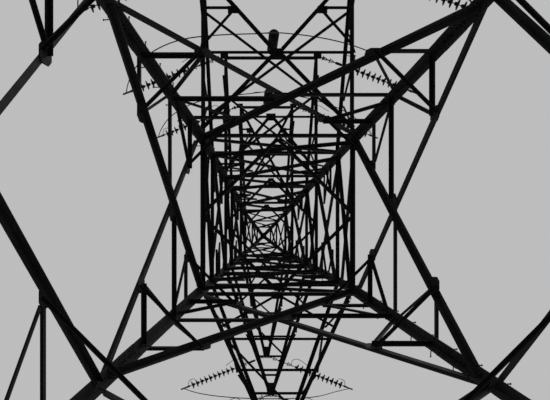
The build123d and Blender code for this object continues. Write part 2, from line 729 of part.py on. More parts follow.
def strings(square_arms, pointed_arms):
    """All tension strings, the pilot strings, and the jumpers that join the clamps of each arm."""
    links, discs, clamps, hangers = [], [], [], []
    pilot_links, pilot_discs, pilot_clamps = [], [], []
    arms = [(title, arm, True) for title, arm in square_arms]
    arms += [(title, arm, False) for title, arm in pointed_arms]
    for title, arm, spread in arms:
        length = OUTER_LINK if spread else INNER_LINK
        ways = [string_direction(spread, side) for side in (-1, 1)]
        starts = [string_start(arm, spread, side) for side in (-1, 1)]
        first_discs = [start + way * length for start, way in zip(starts, ways)]
        places = [first + way * (DISC_COUNT * DISC_PITCH) for first, way in zip(first_discs, ways)]
        lug = places[1] + ways[1] * LUG_PLACE
        if spread:
            string_link, string_discs, saddle = pilot_string(arm)
            pilot_links.append(string_link)
            pilot_discs.append(string_discs)
            pilot_clamps.append(saddle)
            route = outer_route(saddle.center(), lug, arm.z)
            hangers += [Pos(*hanger_centre(arm, spread, side)) * Box(*END_HANGER) for side in (-1, 1)]
        else:
            route = [Vector(x, lug.Y, arm.z + z) for x, z in INNER_JUMPER]
            hangers.append(Pos(*hanger_centre(arm, spread, 1)) * Box(*TIP_HANGER))
        save(f"{title}_{'outer' if spread else 'inner'}_jumper", [cable(route)])
        links += [placed(link(length), start, way) for start, way in zip(starts, ways)]
        discs += [placed(disc_stack(DISC_COUNT), first, way) for first, way in zip(first_discs, ways)]
        routes = (route, route[::-1])
        clamps += [clamp(place, points, way) for place, points, way in zip(places, routes, ways)]
    save("string_hangers", [hanger.solid() for hanger in hangers])
    save("tension_links", links)
    save("tension_insulators", discs)
    save("tension_clamps", clamps)
    save("pilot_links", pilot_links)
    save("pilot_insulators", pilot_discs)
    save("pilot_clamps", pilot_clamps)


def tip_plates(arms):
    """The plate under the chords at the tip of each pointed arm."""
    plates = []
    wide, narrow = TIP_PLATE_WIDTHS[0] / 2, TIP_PLATE_WIDTHS[1] / 2
    for arm in arms:
        far = TIP_INSET - arm.end.Y
        near = far - TIP_PLATE_LENGTH
        corners = [(-wide, near), (wide, near), (narrow, far), (-narrow, far)]
        z = arm.z - SEAT - TIP_PLATE
        plates.append(prism([Vector(x, y, z) for x, y in corners], UP * TIP_PLATE))
    save("tip_plates", plates)


save("lower_legs", LOWER.legs(PLATE_THICKNESS, PANEL_HEIGHT))
save("middle_legs", LOWER.legs(PANEL_HEIGHT, WAIST_HEIGHT))
save("upper_legs", UPPER.legs(WAIST_HEIGHT, CROWN_HEIGHT))
save("peak_legs", PEAK.legs(CROWN_HEIGHT, PEAK_HEIGHT))
base_plates()
base_panel()
tied_panel("lower_panel", LOWER, BELT_HEIGHT, PANEL_HEIGHT)
tied_panel("middle_panel", LOWER, PANEL_HEIGHT, WAIST_HEIGHT)
body_above_waist()
peak()
square_arms, pointed_arms = [], []
for title, floor, square, pointed in zip(ARM_NAMES, ARM_HEIGHTS, SQUARE_REACH, POINTED_REACH):
    half = UPPER.half(floor)
    square_arms.append((title, square_arm(title, floor, square, half)))
    pointed_arms.append((title, pointed_arm(title, floor, pointed)))
tip_plates(arm for title, arm in pointed_arms)
strings(square_arms, pointed_arms)
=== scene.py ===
"""Finishes and small fittings of a double circuit angle tension tower, seen from under its body.

Metres, +Z up. The origin is on the tower's axis at the underside of the base plates.
The square ended crossarms are on the -Y side, and the pointed ones on the +Y side.
"""
from math import atan, cos, pi, radians, sin, sqrt

import bmesh
import bpy
from mathutils import Matrix, Vector


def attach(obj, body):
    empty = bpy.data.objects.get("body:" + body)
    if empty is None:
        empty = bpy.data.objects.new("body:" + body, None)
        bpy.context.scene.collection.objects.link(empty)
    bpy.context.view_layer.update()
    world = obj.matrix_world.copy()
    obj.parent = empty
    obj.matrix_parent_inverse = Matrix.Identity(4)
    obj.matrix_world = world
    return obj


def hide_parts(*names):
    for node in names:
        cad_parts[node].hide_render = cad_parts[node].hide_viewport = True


bl_info = {
    "name": "Lattice tower finishes",
    "version": (1, 0, 0),
    "blender": (4, 5, 0),
    "location": "View3D > Sidebar > Tower",
    "description": "Adds finishes, bolts, step bolts, insulators and jumper cables to a lattice tower",
    "category": "Object",
}

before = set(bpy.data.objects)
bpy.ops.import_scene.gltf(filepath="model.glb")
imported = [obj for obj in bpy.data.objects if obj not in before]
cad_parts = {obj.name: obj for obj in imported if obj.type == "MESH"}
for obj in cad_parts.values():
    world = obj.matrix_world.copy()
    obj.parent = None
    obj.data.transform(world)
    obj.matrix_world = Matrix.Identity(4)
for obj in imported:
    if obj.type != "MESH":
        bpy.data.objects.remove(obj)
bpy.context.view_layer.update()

# Heights and widths of the body
BELT_HEIGHT = 3.5
PANEL_HEIGHT = 12.1
WAIST_HEIGHT = 17.6
CROWN_HEIGHT = 27.1
PEAK_HEIGHT = 29.6
BASE_WIDTH = 10.2
WAIST_WIDTH = 3.25
CROWN_WIDTH = 1.43
PEAK_WIDTH = 0.2

# Crossarms, lowest first
ARM_NAMES = ("low", "middle", "high")
ARM_SPACING = 4
ARM_FLOORS = tuple(WAIST_HEIGHT + ARM_SPACING * level for level in range(len(ARM_NAMES)))
ABOVE_FLOOR = 0.0001
UPPER_RING = 1.45
SQUARE_REACH = (5.26, 4.47, 3.99)
POINTED_REACH = (5.1, 4.52, 4.0)
CHORD_SIZE = 0.09
CHORD_THICKNESS = 0.009
TIP_PLATE = 0.014

# Angle sections, size and thickness
LEG = (0.16, 0.016)
UPPER_LEG = (0.14, 0.014)
PEAK_LEG = (0.09, 0.009)
DIAGONAL = (0.11, 0.009)
BELT = (0.09, 0.008)
RING = (0.075, 0.008)
TIE = (0.055, 0.006)
LACING = (0.075, 0.007)
SEAT = 0.0003
NODE_GAP = 0.205
UPPER_GAP = 0.165

# Bolts: the pitches in a row, and where a row starts beside the middle of a joint
BOLT_PITCH = 0.07
CROSSING_PITCH = 0.06
TIE_PITCH = 0.05
HEAD_TAPER = 0.94
CROSSING_CLEARANCE = 0.06
CROSSING_START = 0.03
NODE_START = 0.07
BELT_START = 0.06
BRACE_FOOT = 0.26
BRACE_CROWN = 0.13
CROWN_START = (0.16, 0.115)
BASE_TIES = (0.36, 0.68)
PANEL_START = 0.001

# Strings, along the string from the arm: the turn and dip in degrees, and the link's length
STRING_ANGLES = {"outer": (22.2, 5.5), "inner": (21, 4)}
STRING_LINKS = {"outer": 0.817, "inner": 0.95}
LINK_END = 0.01
DISC_COUNT = 11
PILOT_DISCS = 10
DISC_PITCH = 0.146
TIP_HANGER = (0.014, 0.09, 0.13)
END_HANGER = (0.21, 0.144, 0.014)
END_HANGER_REACH = 0.1
END_HANGER_HOLE = 0.04
HANGER_HOLE_EDGE = 0.04
LUG_PLACE = 0.23
PILOT_DROP = 2.18
PILOT_GRIP = 0.11
PILOT_CLAMP_HEIGHT = 0.06

# Insulator discs: the shell, the cap and the pin as radius and height from the cap's top
SHELL_PROFILE = [
    (0.05, 0.05), (0.075, 0.054), (0.105, 0.066), (0.1265, 0.083), (0.1265, 0.09),
    (0.11, 0.088), (0.104, 0.098), (0.097, 0.086), (0.08, 0.084), (0.072, 0.1),
    (0.064, 0.084), (0.046, 0.086), (0.03, 0.08),
]
CAP_PROFILE = [
    (0, 0), (0.024, 0), (0.034, 0.006), (0.038, 0.02),
    (0.042, 0.045), (0.052, 0.056), (0.052, 0.062), (0.03, 0.064),
]
PIN_PROFILE = [(0.026, 0.08), (0.026, 0.096), (0.011, 0.1), (0.011, 0.146), (0, 0.146)]
SHELL_SIDES = 20
CAP_SIDES = 14
PIN_SIDES = 10

# Jumper cables: the routes, right of the middle and above the arm's floor
JUMPER_DIAMETER = 0.028
OUTER_SPAN = 3.803
INNER_JUMPER = [
    (-2.572, -0.373), (-2.42, -0.7), (-2.22, -1.02), (-1.98, -1.31), (-1.7, -1.56),
    (-1.39, -1.77), (-1.05, -1.93), (-0.69, -2.05), (-0.32, -2.12), (0.06, -2.135),
    (0.44, -2.12), (0.81, -2.06), (1.16, -1.95), (1.46, -1.75), (1.7, -1.47),
    (1.91, -1.165), (2.13, -0.865), (2.36, -0.59), (2.554, -0.361),
]
OUTER_JUMPER = [
    (-3.788, -0.364), (-3.72, -0.72), (-3.63, -1.11), (-3.53, -1.5), (-3.415, -1.88),
    (-3.285, -2.255), (-3.125, -2.62), (-2.92, -2.96), (-2.655, -3.24), (-2.335, -3.42),
    (-1.97, -3.42), (-1.62, -3.25), (-1.29, -3.045), (-0.975, -2.815), (-0.68, -2.58),
    (-0.395, -2.355), (-0.11, -2.18), (0.11, -2.18), (0.42, -2.36), (0.76, -2.53),
    (1.12, -2.655), (1.5, -2.72), (1.88, -2.69), (2.24, -2.56), (2.55, -2.33),
    (2.81, -2.04), (3.025, -1.715), (3.21, -1.37), (3.385, -1.022), (3.56, -0.67), (3.76, -0.353),
]

# Arcing horns: places along the string from its first or last disc, and how far off its middle
ARM_HORNS = {
    "outer": [(-0.06, 0), (-0.22, 0.11), (-0.3, 0.19), (-0.25, 0.29), (-0.12, 0.3), (0.18, 0.24)],
    "inner": [(-0.1, 0), (-0.15, 0.06), (-0.15, 0.16), (-0.08, 0.24), (0.06, 0.27), (0.35, 0.18)],
}
LINE_HORN = [(0.06, 0.01), (0.03, 0.12), (-0.03, 0.17), (-0.12, 0.175), (-0.2, 0.15)]
PILOT_HORN = [(0, -0.01), (-0.3, -0.02), (-0.42, 0), (-0.44, 0.05)]

# Shackles of the links, and their places along a link
SHACKLE_WIDTH = 0.07
SHACKLE_LENGTH = 0.1
SHACKLE_ROD = 0.016
SHACKLE_PLACES = (0.03, 0.13, 0.23, 0.6, 0.7)
BOW_SHOULDER = 0.6
BOW_CROWN = 0.8
PIN_REACH = 0.006
PIN_NUT = 0.014
PIN_SHARE = 1.2
NUT_SHARE = 1.9

# Level bracing inside the body
PLAN_SECTIONS = ((0.075, 0.007), (0.06, 0.006), (0.055, 0.006))
PLAN_DROP = 0.03
PLAN_TRIM = 0.06
PLAN_PLATE = (0.15, 0.08, 0.008)

# Plates on the square ended arms' floors: their bars' places as shares of the arm
FLOOR_SHARES = (0.5, 0.76, 0.97)
FLOOR_GAP = 0.04
FOOT_PLATE = (0.25, 0.19, 0.008)
STRUT_PLATE = (0.21, 0.16, 0.008)
STRUT_PLATE_SHIFT = (0.06, 0.03)

# Vs on the pointed arms' floors: their ends as shares of the chords
TIP_HALF = 0.11
TIP_INSET = 0.15
VEE_SHARES = (0.225, 0.27, 0.31)
VEE_FOOT = (0.07, 0.105)
VEE_PLATE = (0.24, 0.16, 0.008)
VEE_SECTION = (0.05, 0.006)

# Fine ties of the tall upper panels
FINE_TIE = (0.045, 0.005)
FINE_TIE_SHARES = (0.27, 0.73)

# Splice covers on the legs' joints, and their bolts' places
SPLICE_HEIGHTS = (13.1,)
SPLICE_LENGTH = 0.7
SPLICE_WIDTH = 0.145
SPLICE_THICKNESS = 0.012
SPLICE_STEPS = (-0.3, -0.2, -0.1, 0.1, 0.2, 0.3)
SPLICE_SHIFT = 0.035

# Step bolts: the first one's height, its place on the flange, and its nuts and head
STEP_START = 2.31
STEP_SHARE = 0.62
STEP_SEAT = 0.001
STEP_NUT = (0.018, 0.015)
STEP_HEAD = (0.016, 0.01)
STEP_BEVELS = (0.001, 0.002)
STEP_SIDES = 8

# How round rods are drawn
ROD_SIDES = 8
CORNER_CUT = 0.25
MERGE_DISTANCE = 1e-5
LEVEL_LIMIT = 1e-6

# The view, straight up from inside the base
EYE = (-0.704, 1.038, 1.6)
FOCAL_PIXELS = 754
IMAGE_WIDTH, IMAGE_HEIGHT = 550, 400
ZENITH_X, ZENITH_Y = 244.4, 263.8
SENSOR_WIDTH = 36
VIEW_LIMIT = 500

# The floor as it is seen and as it throws back light, the lamp in degrees, and the light all round
FLOOR_SIZE = 120
FLOOR_TONES = [(0.3, (0.70, 0.71, 0.72)), (0.7, (0.75, 0.76, 0.77))]
FLOOR_RETURN = (0.03, 0.03, 0.03)
LAMP_ENERGY = 1.2
LAMP_SPREAD = 25
LAMP_TURNS = (38, 12, 25)
LIGHT_COLOUR = (0.96, 0.97, 1)
LIGHT_STRENGTH = 0.4

# The colour sockets of a Mix node
MIX_COLOURS = (6, 7)
MIX_RESULT = 2


class TowerSettings(bpy.types.PropertyGroup):
    """Sizes and colours that a user would change."""

    steel_colour: bpy.props.FloatVectorProperty(
        name="Steel colour", description="Colour of the weathered zinc",
        subtype="COLOR", size=3, default=(0.048, 0.0495, 0.053), min=0, max=1)
    steel_shade: bpy.props.FloatVectorProperty(
        name="Steel shade", description="Colour of the darkest zinc and of the grime on it",
        subtype="COLOR", size=3, default=(0.018, 0.018, 0.0195), min=0, max=1)
    rust_colour: bpy.props.FloatVectorProperty(
        name="Rust colour", description="Colour of the thin rust at cut edges and bolts",
        subtype="COLOR", size=3, default=(0.058, 0.037, 0.026), min=0, max=1)
    glass_colour: bpy.props.FloatVectorProperty(
        name="Disc colour", description="Colour of the insulator discs",
        subtype="COLOR", size=3, default=(0.007, 0.009, 0.009), min=0, max=1)
    aluminium_colour: bpy.props.FloatVectorProperty(
        name="Aluminium colour", description="Colour of the weathered cables and clamps",
        subtype="COLOR", size=3, default=(0.05, 0.051, 0.053), min=0, max=1)
    backdrop_colour: bpy.props.FloatVectorProperty(
        name="Backdrop colour", description="Colour behind the tower",
        subtype="COLOR", size=3, default=(0.51, 0.51, 0.51), min=0, max=1)
    bolt_width: bpy.props.FloatProperty(
        name="Bolt width", description="Width across the flats of a bolt head",
        unit="LENGTH", default=0.03, min=0.01, max=0.06)
    bolt_height: bpy.props.FloatProperty(
        name="Bolt height", description="Height of a bolt head or a nut",
        unit="LENGTH", default=0.014, min=0.005, max=0.03)
    step_pitch: bpy.props.FloatProperty(
        name="Step pitch", description="Height from one step bolt to the next",
        unit="LENGTH", default=0.38, min=0.2, max=0.6)
    step_length: bpy.props.FloatProperty(
        name="Step length", description="How far a step bolt stands out",
        unit="LENGTH", default=0.15, min=0.05, max=0.25)
    step_diameter: bpy.props.FloatProperty(
        name="Step diameter", description="Diameter of a step bolt",
        unit="LENGTH", default=0.018, min=0.01, max=0.03)
    horn_diameter: bpy.props.FloatProperty(
        name="Horn diameter", description="Diameter of an arcing horn's rod",
        unit="LENGTH", default=0.016, min=0.006, max=0.03)


def settings():
    """The tower's settings in the open scene."""
    return bpy.context.scene.tower_settings


# Materials


def new_material(name):
    """An empty node material, with its shader and its Object coordinates."""
    material = bpy.data.materials.new(name)
    material.use_nodes = True
    nodes = material.node_tree.nodes
    shader = nodes["Principled BSDF"]
    place = nodes.new("ShaderNodeTexCoord").outputs["Object"]
    return material, nodes, material.node_tree.links, shader, place


def noise(nodes, links, place, scale, detail=4, stretch=(1, 1, 1)):
    """A noise value on the object, stretched along the axes."""
    mapping = nodes.new("ShaderNodeMapping")
    mapping.inputs["Scale"].default_value = stretch
    texture = nodes.new("ShaderNodeTexNoise")
    texture.inputs["Scale"].default_value = scale
    texture.inputs["Detail"].default_value = detail
    links.new(place, mapping.inputs["Vector"])
    links.new(mapping.outputs["Vector"], texture.inputs["Vector"])
    return texture.outputs["Fac"]


def ramp(nodes, links, value, stops):
    """Colours picked by a value, from (place, colour) stops."""
    node = nodes.new("ShaderNodeValToRGB")
    elements = node.color_ramp.elements
    while len(elements) < len(stops):
        elements.new(0.5)
    for element, (place, colour) in zip(elements, stops):
        element.position = place
        element.color = (*colour, 1)
    links.new(value, node.inputs["Fac"])
    return node.outputs["Color"]


def mixed(nodes, links, share, first, second):
    """Two colours mixed by a share."""
    node = nodes.new("ShaderNodeMix")
    node.data_type = "RGBA"
    links.new(share, node.inputs["Factor"])
    for index, colour in zip(MIX_COLOURS, (first, second)):
        if isinstance(colour, bpy.types.NodeSocket):
            links.new(colour, node.inputs[index])
        else:
            node.inputs[index].default_value = (*colour, 1)
    return node.outputs[MIX_RESULT]


def spread(nodes, links, value, low, high):
    """A value from 0 to 1 as a value from low to high."""
    node = nodes.new("ShaderNodeMapRange")
    node.inputs["To Min"].default_value = low
    node.inputs["To Max"].default_value = high
    links.new(value, node.inputs["Value"])
    return node.outputs["Result"]


def bump(nodes, links, shader, height, distance, strength=0.5):
    """A bumpy surface from a height value."""
    node = nodes.new("ShaderNodeBump")
    node.inputs["Strength"].default_value = strength
    node.inputs["Distance"].default_value = distance
    links.new(height, node.inputs["Height"])
    links.new(node.outputs["Normal"], shader.inputs["Normal"])


def seen_rays(nodes, links):
    """One for a ray that sees a surface, straight on or in gloss, and zero for mere light."""
    path = nodes.new("ShaderNodeLightPath")
    seen = path.outputs["Is Camera Ray"]
    for ray in ("Is Glossy Ray", "Is Transmission Ray"):
        either = nodes.new("ShaderNodeMath")
        either.operation = "MAXIMUM"
        links.new(seen, either.inputs[0])
        links.new(path.outputs[ray], either.inputs[1])
        seen = either.outputs[0]
    return seen


def zinc(name, light, dark, rust_from):
    """Weathered zinc on steel: soft clouds, fine grain, streaks down the bars and thin rust."""
    material, nodes, links, shader, place = new_material(name)
    clouds = noise(nodes, links, place, scale=1.3)
    grain = noise(nodes, links, place, scale=55, detail=2)
    streaks = noise(nodes, links, place, scale=9, detail=5, stretch=(1, 1, 0.06))
    rust = noise(nodes, links, place, scale=3.1, detail=8)
    base = ramp(nodes, links, clouds, [(0.32, dark), (0.66, light)])
    grained = ramp(nodes, links, grain, [(0.35, dark), (0.7, light)])
    streaked = mixed(nodes, links, spread(nodes, links, streaks, low=0, high=0.8), base, grained)
    rusty = ramp(nodes, links, rust, [(rust_from, (0, 0, 0)), (rust_from + 0.09, (0.7, 0.7, 0.7))])
    colour = mixed(nodes, links, rusty, streaked, settings().rust_colour)
    links.new(colour, shader.inputs["Base Color"])
    links.new(spread(nodes, links, streaks, low=0.68, high=0.92), shader.inputs["Roughness"])
    shader.inputs["Metallic"].default_value = 0.1
    shader.inputs["Specular IOR Level"].default_value = 0.07
    bump(nodes, links, shader, grain, distance=0.0008)
    return material


def tower_steel():
    """The bars' finish."""
    return zinc("tower_steel", settings().steel_colour, settings().steel_shade, rust_from=0.66)


def plate_steel():
    """The base plates' finish, with more rust than the bars."""
    return zinc("plate_steel", settings().steel_colour, settings().steel_shade, rust_from=0.58)


def bolt_steel():
    """The bolts' finish, with rust in its shade."""
    return zinc("bolt_steel", settings().steel_colour, settings().rust_colour, rust_from=0.62)


def disc_glass():
    """Glazed discs: a deep even colour, with dust in random patches."""
    material, nodes, links, shader, place = new_material("disc_glass")
    deep = settings().glass_colour
    dusty = [value * 2 for value in deep]
    dust = noise(nodes, links, place, scale=4, detail=5)
    links.new(ramp(nodes, links, dust, [(0.4, deep), (0.75, dusty)]), shader.inputs["Base Color"])
    links.new(spread(nodes, links, dust, low=0.22, high=0.5), shader.inputs["Roughness"])
    shader.inputs["Specular IOR Level"].default_value = 0.15
    grain = noise(nodes, links, place, scale=30, detail=2)
    bump(nodes, links, shader, grain, distance=0.0005, strength=0.2)
    return material


def aluminium(name, grain_scale, stretch):
    """Dull weathered aluminium with a fine grain."""
    material, nodes, links, shader, place = new_material(name)
    light = settings().aluminium_colour
    dark = [value * 0.5 for value in light]
    grain = noise(nodes, links, place, grain_scale, detail=3, stretch=stretch)
    clouds = noise(nodes, links, place, scale=2.5)
    base = ramp(nodes, links, clouds, [(0.3, dark), (0.7, light)])
    colour = mixed(nodes, links, spread(nodes, links, grain, low=0, high=0.6), base, dark)
    links.new(colour, shader.inputs["Base Color"])
    links.new(spread(nodes, links, clouds, low=0.35, high=0.6), shader.inputs["Roughness"])
    shader.inputs["Metallic"].default_value = 0.6
    bump(nodes, links, shader, grain, distance=0.001)
    return material


def cable_aluminium():
    """The jumper cables' finish."""
    return aluminium("cable_aluminium", grain_scale=120, stretch=(1, 1, 3))


def clamp_aluminium():
    """The clamps' finish."""
    return aluminium("clamp_aluminium", grain_scale=40, stretch=(1, 1, 1))


# Places


def body_half(z):
    """Half the body's width, heel to heel, at height z, and how it changes with height."""
    stretches = (
        (0, WAIST_HEIGHT, BASE_WIDTH, WAIST_WIDTH),
        (WAIST_HEIGHT, CROWN_HEIGHT, WAIST_WIDTH, CROWN_WIDTH),
        (CROWN_HEIGHT, PEAK_HEIGHT, CROWN_WIDTH, PEAK_WIDTH),
    )
    for low, high, low_width, high_width in stretches:
        if z <= high:
            slope = (high_width - low_width) / 2 / (high - low)
            return low_width / 2 + slope * (z - low), slope
    return PEAK_WIDTH / 2, 0


def floor_half(floor):
    """Half the body's width at an arm's floor, where the stretch above it starts."""
    return body_half(floor + ABOVE_FLOOR)[0]


def leg_section(z):
    """The legs' size and thickness at height z."""
    if z <= WAIST_HEIGHT:
        return LEG
    return UPPER_LEG if z <= CROWN_HEIGHT else PEAK_LEG


def reach(z):
    """From the middle of a face to the middle of a leg's flange."""
    return body_half(z)[0] - leg_section(z)[0] / 2


def turned_to(direction, place):
    """The matrix that takes +Z to direction, and the origin to place."""
    axis = Vector(direction).normalized()
    turn = axis.to_track_quat("Z", "Y").to_matrix().to_4x4()
    return Matrix.Translation(place) @ turn


def face_matrix(x, z, depth, outward=True):
    """The place of a fastener on the -Y face, depth under its surface."""
    half, slope = body_half(z)
    normal = Vector((0, -1, -slope)).normalized()
    place = Vector((x, -half, z)) - normal * depth
    return turned_to(normal if outward else -normal, place)


def on_four_faces(places):
    """The places of the -Y face, and the same on the other three."""
    turns = [Matrix.Rotation(face * pi / 2, 4, "Z") for face in range(4)]
    return [turn @ place for turn in turns for place in places]


def crossing_height(low, high, gap):
    """The height at which two diagonals of a panel cross."""
    start, end = low + gap, high - gap
    return (reach(end) * start + reach(start) * end) / (reach(start) + reach(end))


def string_way(kind, side):
    """The way a tension string leaves its arm."""
    turn, dip = (radians(angle) for angle in STRING_ANGLES[kind])
    return Vector((side * cos(turn) * cos(dip), sin(turn) * cos(dip), -sin(dip)))


def left_and_right(x, y, z):
    """A place to the left and the same to the right."""
    return [Vector((side * x, y, z)) for side in (-1, 1)]


def arm_ends():
    """For each arm: its name, kind and floor, and the faces that its two strings start from."""
    ends = []
    for name, floor, square, pointed in zip(ARM_NAMES, ARM_FLOORS, SQUARE_REACH, POINTED_REACH):
        x = floor_half(floor) + END_HANGER_REACH
        z = floor - SEAT - END_HANGER[2] / 2
        ends.append((name, "outer", floor, left_and_right(x, END_HANGER_HOLE - square, z)))
        y = pointed - TIP_HANGER[1] / 2
        z = floor - TIP_PLATE - 2 * SEAT - TIP_HANGER[2] + HANGER_HOLE_EDGE
        ends.append((name, "inner", floor, left_and_right(TIP_HANGER[0] / 2, y, z)))
    return ends


def string_start(face, way):
    """Where a tension string starts beside the face of its hanger."""
    lean = LINK_END * sqrt(1 - way.x ** 2)
    return face + way * ((SEAT + lean) / abs(way.x))


def tension_strings():
    """The kind, the start, the way and the link length of every tension string."""
    found = []
    for _, kind, _, faces in arm_ends():
        for side, face in zip((-1, 1), faces):
            way = string_way(kind, side)
            found.append((kind, string_start(face, way), way, STRING_LINKS[kind]))
    return found


def pilot_y(square):
    """Where a pilot string hangs, under the middle of the end bar of a square ended arm."""
    return -square + BELT[0] / 2


def pilot_stacks():
    """The first cap of every pilot string's discs."""
    length = CHORD_THICKNESS + PILOT_DROP - JUMPER_DIAMETER / 2 - SEAT
    length -= PILOT_CLAMP_HEIGHT + PILOT_DISCS * DISC_PITCH
    stacks = []
    for floor, square in zip(ARM_FLOORS, SQUARE_REACH):
        stacks.append(Vector((0, pilot_y(square), floor + CHORD_THICKNESS - length)))
    return stacks


def disc_places():
    """The place of every disc, its cap towards the arm."""
    places = []
    for _, start, way, link in tension_strings():
        for disc in range(DISC_COUNT):
            places.append(turned_to(way, start + way * (link + disc * DISC_PITCH)))
    down = Vector((0, 0, -1))
    for top in pilot_stacks():
        places += [turned_to(down, top + down * (disc * DISC_PITCH)) for disc in range(PILOT_DISCS)]
    return places


# Modelling


def lathed(profile, sides):
    """A bmesh turned about Z through (radius, height) places."""
    shape = bmesh.new()
    outline = [shape.verts.new((radius, 0, height)) for radius, height in profile]
    edges = [shape.edges.new(pair) for pair in zip(outline, outline[1:])]
    bmesh.ops.spin(shape, geom=outline + edges, axis=(0, 0, 1), cent=(0, 0, 0),
                   angle=2 * pi, steps=sides, use_merge=True)
    bmesh.ops.remove_doubles(shape, verts=shape.verts, dist=MERGE_DISTANCE)
    bmesh.ops.recalc_face_normals(shape, faces=shape.faces)
    return shape


def hex_head(width, height):
    """A bolt head or nut that stands on its place along +Z."""
    shape = bmesh.new()
    middle = Matrix.Translation((0, 0, height / 2))
    bmesh.ops.create_cone(shape, cap_ends=True, segments=6, radius1=width / sqrt(3),
                          radius2=width / sqrt(3) * HEAD_TAPER, depth=height, matrix=middle)
    return shape


def extruded(shape, face, move):
    """Draws a face out by a matrix and gives the new one. The old one stays where it is an end."""
    drawn = bmesh.ops.extrude_face_region(shape, geom=[face, *face.edges])["geom"]
    moved = [part for part in drawn if isinstance(part, bmesh.types.BMVert)]
    bmesh.ops.transform(shape, matrix=move, verts=moved)
    return next(part for part in drawn if isinstance(part, bmesh.types.BMFace))


def rod(shape, start, end, radius, sides=ROD_SIDES):
    """Adds a straight round rod between two points."""
    run = end - start
    place = turned_to(run, (start + end) / 2)
    bmesh.ops.create_cone(shape, cap_ends=True, segments=sides, radius1=radius,
                          radius2=radius, depth=run.length, matrix=place)


def rounded(points, rounds=2):
    """The points with their corners cut, round after round."""
    for _ in range(rounds):
        cut = [points[0]]
        for first, last in zip(points, points[1:]):
            cut += [first.lerp(last, CORNER_CUT), first.lerp(last, 1 - CORNER_CUT)]
        points = [*cut, points[-1]]
    return points


def bent_rod(shape, points, radius, sides=ROD_SIDES):
    """Adds a round rod along points in one plane, its corners rounded and its ends closed."""
    points = rounded(points)
    normal = (points[1] - points[0]).cross(points[-1] - points[len(points) // 2]).normalized()
    places = []
    for before, point, after in zip([points[0], *points], points, [*points[1:], points[-1]]):
        edge = (after - before).cross(normal).normalized()
        place = Matrix((edge, normal, edge.cross(normal))).transposed().to_4x4()
        place.translation = point
        places.append(place)
    ring = bmesh.ops.create_circle(shape, cap_ends=True, segments=sides, radius=radius,
                                   matrix=places[0])
    face = ring["verts"][0].link_faces[0]
    for place, goal in zip(places, places[1:]):
        face = extruded(shape, face, goal @ place.inverted())


def angle_bar(shape, start, end, flat, section):
    """Adds an angle section whose back runs from start to end, with its standing flange along flat."""
    size, thick = section
    edge = (end - start).cross(flat).normalized()
    if edge.z > 0 or (abs(edge.z) < LEVEL_LIMIT and edge.y > 0):
        edge = -edge
    outline = [(0, 0), (size, 0), (size, thick), (thick, thick), (thick, size), (0, size)]
    ends = [shape.verts.new(start + edge * (u - size / 2) + flat * v) for u, v in outline]
    extruded(shape, shape.faces.new(ends), Matrix.Translation(end - start))


def joined(shape, other):
    """The bmesh with another one's faces added to its own."""
    mesh = bpy.data.meshes.new("other")
    other.to_mesh(mesh)
    other.free()
    shape.from_mesh(mesh)
    bpy.data.meshes.remove(mesh)
    return shape


def repeated(shape, places):
    """A bmesh with a copy of the shape at each place."""
    mesh = bpy.data.meshes.new("shape")
    shape.to_mesh(mesh)
    shape.free()
    whole = bmesh.new()
    for place in places:
        before = len(whole.verts)
        whole.from_mesh(mesh)
        whole.verts.ensure_lookup_table()
        bmesh.ops.transform(whole, matrix=place, verts=whole.verts[before:])
    bpy.data.meshes.remove(mesh)
    return whole


def plates_at(places):
    """A bmesh with a plate at each place, whose matrix also gives the plate's size."""
    plate = bmesh.new()
    bmesh.ops.create_cube(plate, size=1)
    return repeated(plate, places)


def add_piece(name, shape, material, smooth=False):
    """Makes an object of the bmesh, finished, and fixed to the tower."""
    bmesh.ops.recalc_face_normals(shape, faces=shape.faces)
    for face in shape.faces:
        face.smooth = smooth
    mesh = bpy.data.meshes.new(name)
    shape.to_mesh(mesh)
    shape.free()
    piece = bpy.data.objects.new(name, mesh)
    bpy.context.scene.collection.objects.link(piece)
    mesh.materials.append(material)
    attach(piece, "root")
    return piece


def add_steel(name, shape, material="tower_steel", smooth=False):
    """Makes a piece of galvanised steel."""
    return add_piece(name, shape, bpy.data.materials[material], smooth)


def bolt_places(x, z, run, count, pitch, head_depth, nut_depth):
    """Bolts in a row from a place on the -Y face: the heads outside and the nuts inside."""
    heads, nuts = [], []
    for index in range(count):
        step = run * (index * pitch)
        heads.append(face_matrix(x + step[0], z + step[1], head_depth))
        nuts.append(face_matrix(x + step[0], z + step[1], nut_depth, False))
    return heads + nuts


def bar_bolts(start, end, outside, thickness, count=2, pitch=BOLT_PITCH):
    """Bolts at the start of a bar, towards its end, both (x, z) places of the -Y face."""
    run = Vector((end[0] - start[0], end[1] - start[1])).normalized()
    under = leg_section(start[1])[1]
    if outside:
        return bolt_places(*start, run, count, pitch, -SEAT - thickness, under)
    return bolt_places(*start, run, count, pitch, 0, under + SEAT + thickness)


def panel_bolts(low, high, gap, section, count):
    """Bolts at the ends and the crossing of a panel's two diagonals."""
    foot, head = (reach(low + gap), low + gap), (-reach(high - gap), high - gap)
    places = []
    for mirror, outside in ((1, False), (-1, True)):
        start, end = (foot[0] * mirror, foot[1]), (head[0] * mirror, head[1])
        places += bar_bolts(start, end, outside, section[1], count)
        places += bar_bolts(end, start, outside, section[1], count)
    middle = crossing_height(low, high, gap)
    under = leg_section(middle)[1] + SEAT + section[1]
    places += bolt_places(0, middle, Vector((0, 1)), 1, 0, -SEAT - section[1], under)
    return places


